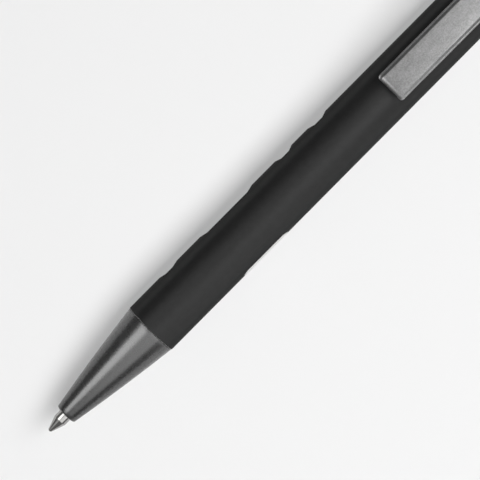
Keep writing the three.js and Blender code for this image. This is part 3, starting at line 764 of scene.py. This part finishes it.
def clip_stations(arm, end):
    """Distances along the clip at which its section is repeated, close together where it is curved."""
    end_steps = 8
    nub_steps = 14
    corner = [CLIP_CORNER * (1 - math.cos(math.radians(angle))) for angle in range(0, 91, 15)]
    slope = [CLIP_END_LENGTH * k / end_steps for k in range(end_steps // 2 + 1, end_steps + 1)]
    nub = [CLIP_NUB_START + CLIP_NUB_LENGTH * k / nub_steps for k in range(nub_steps + 1)]
    bend = [arm + CLIP_SHOULDER * math.radians(angle) for angle in range(0, 91, 9)]
    return sorted(corner + slope + nub + bend + [end])


def clip_foot(foot_front, back, underside, half):
    """The block that fills the bend of the clip, above the collar."""
    inside = 0.4
    overlap = 0.01
    sunk = 0.02
    foot = rounded([
        (foot_front - CLIP_ARCH - overlap, underside + inside, 0),
        (foot_front - CLIP_ARCH - overlap, underside, 0),
        (foot_front, underside, CLIP_ARCH),
        (foot_front, BARREL_RADIUS - inside, 0),
        (back - inside, BARREL_RADIUS - inside, 0),
        (back - inside, underside + inside, 0),
    ])
    return piece_of(prism(foot, 2 * (half - sunk)), "foot")


def clip_bar(front, back, slope, half):
    """The bar of the clip, swept straight, then shaped at its end and nub, and bent down at its rear."""
    nub_middle = CLIP_NUB_START + CLIP_NUB_LENGTH / 2
    nub_depth = CLIP_LIFT_FRONT + math.tan(slope) * nub_middle - LOOSE_GAP
    arm = (back - front) / math.cos(slope) - CLIP_SHOULDER * (1 + math.tan(slope))
    end = arm + CLIP_SHOULDER * math.pi / 2 + CLIP_LIFT_REAR + CLIP_THICKNESS
    place = Vector((front, 0, BARREL_RADIUS + CLIP_LIFT_FRONT + CLIP_THICKNESS))
    bm = swept(clip_section(half), clip_stations(arm, end))
    for vert in bm.verts:
        shaped = shape_clip_point(vert.co, half, nub_depth)
        vert.co = bend_clip_point(shaped, arm, slope) + place
    return piece_of(bm, "clip_bar", CLIP_SHARP)


def clearance_rod(start, end):
    """What is cut away under the clip's foot, to keep it clear of the collar."""
    clearance = BARREL_RADIUS + LOOSE_GAP
    return piece_of(turned([(start, 0), (start, clearance), (end, clearance), (end, 0)]), "rod")


def clip_tongue(start, end):
    """The tongue under the clip's foot, which goes into the collar's slot."""
    outline = box_outline(start, end, CLIP_TONGUE_BOTTOM, BARREL_RADIUS + 2 * LOOSE_GAP)
    return piece_of(prism(outline, CLIP_TONGUE_WIDTH), "tongue")


def whole_clip():
    """The clip, with its bar, its foot and its tongue in one."""
    front, back = ends("clip")
    low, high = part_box("clip")
    half = (high.y - low.y) / 2 / MM
    foot_front = back - CLIP_FOOT_LENGTH
    slope = math.atan((CLIP_LIFT_REAR - CLIP_LIFT_FRONT) / (foot_front - front))
    foot_underside = BARREL_RADIUS + CLIP_LIFT_FRONT + math.tan(slope) * (foot_front - front)
    spare = 5
    clip = clip_bar(front, back, slope, half)
    combine(clip, [clip_foot(foot_front, back, foot_underside, half)], "UNION", CLIP_SHARP)
    combine(clip, [clearance_rod(foot_front - spare, back + spare)], "DIFFERENCE", CLIP_SHARP)
    return combine(clip, [clip_tongue(foot_front, back)], "UNION", CLIP_SHARP)


# Button and stylus
def button_cap():
    """The push button, with a wider head and the recess that holds the stylus."""
    front, rear = ends("button_shell")
    head_start = rear - BUTTON_HEAD_LENGTH
    recess_radius = STYLUS_SKIRT_RADIUS + PRESS_GAP
    outline = rounded([
        (front, BUTTON_RADIUS, MOUTH_EDGE),
        (head_start, BUTTON_RADIUS, STEP_EDGE),
        (head_start, BUTTON_HEAD_RADIUS, BUTTON_HEAD_EDGE),
        (rear, BUTTON_HEAD_RADIUS, BUTTON_REAR_EDGE),
        (rear, recess_radius, 0),
        (rear - BUTTON_RECESS, recess_radius, 0),
        (rear - BUTTON_RECESS, BUTTON_BORE, 0),
        (front, BUTTON_BORE, 0),
    ], steps=8)
    return piece_of(turned(outline), "button_cap")


def dome(centre, radius, steps=24):
    """A quarter of a circle from the widest place of the dome to its pole."""
    angles = [math.pi / 2 * k / steps for k in range(steps)]
    return [(centre + radius * math.sin(a), radius * math.cos(a)) for a in angles] + [(centre + radius, 0)]


def stylus_dome():
    """The hollow rubber dome, with the skirt that the button holds."""
    skirt, tip = ends("stylus_tip")
    rim = ends("button_shell")[1] + SEAM_GAP
    centre = tip - STYLUS_RADIUS
    outer = dome(centre, STYLUS_RADIUS)
    inner = dome(centre, STYLUS_RADIUS - STYLUS_WALL)
    outline = [(skirt, STYLUS_NECK_BORE), (skirt, STYLUS_SKIRT_RADIUS), (rim, STYLUS_SKIRT_RADIUS), *outer]
    outline += [*reversed(inner), (rim, STYLUS_RADIUS - STYLUS_WALL), (rim, STYLUS_NECK_BORE)]
    return piece_of(turned(outline), "stylus_dome", sharp=40)


# Studio
def seen(tree):
    """1 for what the camera sees, also by reflection and through clear things, and 0 otherwise."""
    path = tree.nodes.new("ShaderNodeLightPath").outputs
    first = add(tree, "Math", {0: path["Is Camera Ray"], 1: path["Is Glossy Ray"]}, operation="MAXIMUM")
    return add(tree, "Math", {0: first, 1: path["Is Transmission Ray"]}, operation="MAXIMUM")


def pale_floor():
    """White paper that shows a share of plain white, and keeps the pen's shadow."""
    material = bpy.data.materials.new("pale_floor")
    material.use_nodes = True
    tree = material.node_tree
    tree.nodes.clear()
    white = (FLOOR_WHITE, FLOOR_WHITE, FLOOR_WHITE, 1)
    paper = add(tree, "BsdfDiffuse", {"Color": white})
    glow = add(tree, "Emission", {"Color": white, "Strength": 1.0})
    share = add(tree, "Math", {0: seen(tree), 1: FLOOR_GLOW}, operation="MULTIPLY")
    mix = tree.nodes.new("ShaderNodeMixShader")
    tree.links.new(share, mix.inputs[0])
    tree.links.new(paper, mix.inputs[1])
    tree.links.new(glow, mix.inputs[2])
    output = tree.nodes.new("ShaderNodeOutputMaterial")
    tree.links.new(mix.outputs[0], output.inputs["Surface"])
    return material


def studio_floor():
    """The level floor that the pen lies on."""
    bm = bmesh.new()
    bmesh.ops.create_grid(bm, x_segments=1, y_segments=1, size=FLOOR_REACH)
    mesh = bpy.data.meshes.new("studio_floor")
    bm.to_mesh(mesh)
    bm.free()
    floor = bpy.data.objects.new("studio_floor", mesh)
    bpy.context.scene.collection.objects.link(floor)
    mesh.materials.append(pale_floor())


def studio_world():
    """A white world, bright where the camera sees it, dimmer in reflections, and faint as a light."""
    world = bpy.data.worlds.new("studio")
    bpy.context.scene.world = world
    world.use_nodes = True
    tree = world.node_tree
    tree.nodes.clear()
    path = tree.nodes.new("ShaderNodeLightPath").outputs
    shown = spread(tree, path["Is Camera Ray"], 0.0, 1.0, WORLD_REFLECTED, WORLD_SEEN)
    lit = path["Is Diffuse Ray"]
    strength = add(tree, "MapRange", {"Value": lit, "To Min": shown, "To Max": WORLD_LIGHT})
    background = add(tree, "Background", {"Color": (1, 1, 1, 1), "Strength": strength})
    output = tree.nodes.new("ShaderNodeOutputWorld")
    tree.links.new(background, output.inputs["Surface"])


def softbox(name, first, last, front, rear, radiance):
    """A lamp over the pen that fills the angles from first to last, in degrees off the vertical towards -Y.
    Front and rear are how far it reaches along the pen, in metres from the middle of the frame."""
    half_angle = math.radians(last - first) / 2
    angle = math.radians(first + last) / 2
    light = bpy.data.lights.new(name, "AREA")
    light.shape = "RECTANGLE"
    light.size = rear - front
    light.size_y = 2 * LAMP_DISTANCE * math.tan(half_angle)
    light.energy = math.pi * light.size * light.size_y * radiance
    lamp = bpy.data.objects.new(name, light)
    bpy.context.scene.collection.objects.link(lamp)
    back = Vector((0, -math.sin(angle), math.cos(angle)))
    lamp.location = Vector(((front + rear) / 2, 0, AXIS_HEIGHT)) + back * LAMP_DISTANCE
    lamp.rotation_euler = (angle, 0, 0)
    return lamp


def studio_lamps():
    """The key lamp gives plain light and no reflection, and the others are seen only as reflections."""
    softbox(*KEY_LAMP).visible_glossy = False
    for lamp in REFLECTED_LAMPS:
        softbox(*lamp).visible_diffuse = False


def photo_camera():
    """A camera that sees the pen as the photograph does, from nearly straight above."""
    data = bpy.data.cameras.new("photo_camera")
    camera = bpy.data.objects.new("photo_camera", data)
    bpy.context.scene.collection.objects.link(camera)
    bpy.context.scene.camera = camera
    data.lens = LENS
    data.sensor_width = SENSOR
    distance = PHOTO_SIZE / PIXELS_PER_MM * MM * LENS / SENSOR
    turn = math.radians(AXIS_ANGLE)
    tilt = math.radians(TILT)
    along = Vector((1, 0, 0))
    back = Vector((0, math.sin(tilt), math.cos(tilt)))
    across = back.cross(along)
    right = math.cos(turn) * along - math.sin(turn) * across
    up = math.sin(turn) * along + math.cos(turn) * across
    target = TO_FRAME @ Vector((LOOK_AT[0], LOOK_AT[1], 0))
    camera.location = target + back * distance
    camera.rotation_mode = "QUATERNION"
    camera.rotation_quaternion = Matrix((right, up, back)).transposed().to_quaternion()
    data.clip_start = 0.01
    data.clip_end = 20


# The pen's finishes
gloss = gunmetal("nose_gunmetal", base=0.13, roughness=0.27)
satin = satin_gunmetal(base=0.245)
bright = bright_metal("point_metal", base=(0.42, 0.415, 0.405), roughness=0.14)
brass = bright_metal("bush_brass", base=(0.70, 0.55, 0.28), roughness=0.3)
steel = bright_metal("spring_wire", base=(0.55, 0.55, 0.56), roughness=0.25)
white = moulded_plastic("white_acetal", base=(0.78, 0.78, 0.75), roughness=0.45)
black = moulded_plastic("black_acetal", base=(0.022, 0.022, 0.023), roughness=0.45)
milky = moulded_plastic("tube_plastic", base=(0.50, 0.56, 0.68), roughness=0.25)
ink = moulded_plastic("ink", base=(0.01, 0.015, 0.10), roughness=0.2)

# Pieces that stand for a solid each
settle(writing_ball(), "ball", bright, "writing_ball")
settle(metal_point(), "refill", bright, "refill_tip")
settle(point_holder(), "refill", white, "tip_holder")
settle(ink_tube(), "refill", milky, "refill_tube")
settle(nose_shell(), "nose", gloss, "nose_cone")
settle(threaded_bush(), "barrel", brass, "front_bush")
settle(barrel_body(), "barrel", soft_touch_black(), "barrel_tube")
settle(collar_ring(), "barrel", gloss, "top_collar")
settle(whole_clip(), "clip", satin, "clip")
settle(button_cap(), "button", gloss, "button_shell")
settle(stylus_dome(), "button", stylus_rubber(), "stylus_tip")

# The spring is attached to no body and its transform is baked into its mesh. On the real pen it stretches
# with the refill, its front end staying with the barrel.
spring = coil_spring()
settle(spring, None, steel, "return_spring")
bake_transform(spring)

# Inner solids that keep their shape
solid_finishes = {
    "rear_bush": brass,
    "cam_sleeve": white,
    "refill_end_plug": white,
    "rotor_cam": black,
    "plunger": black,
    "stylus_holder": black,
    "ink_column": ink,
}
for node, material in solid_finishes.items():
    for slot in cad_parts[node].material_slots:
        slot.material = material

studio_floor()
studio_world()
studio_lamps()
photo_camera()
bpy.context.scene.view_settings.view_transform = "Standard"
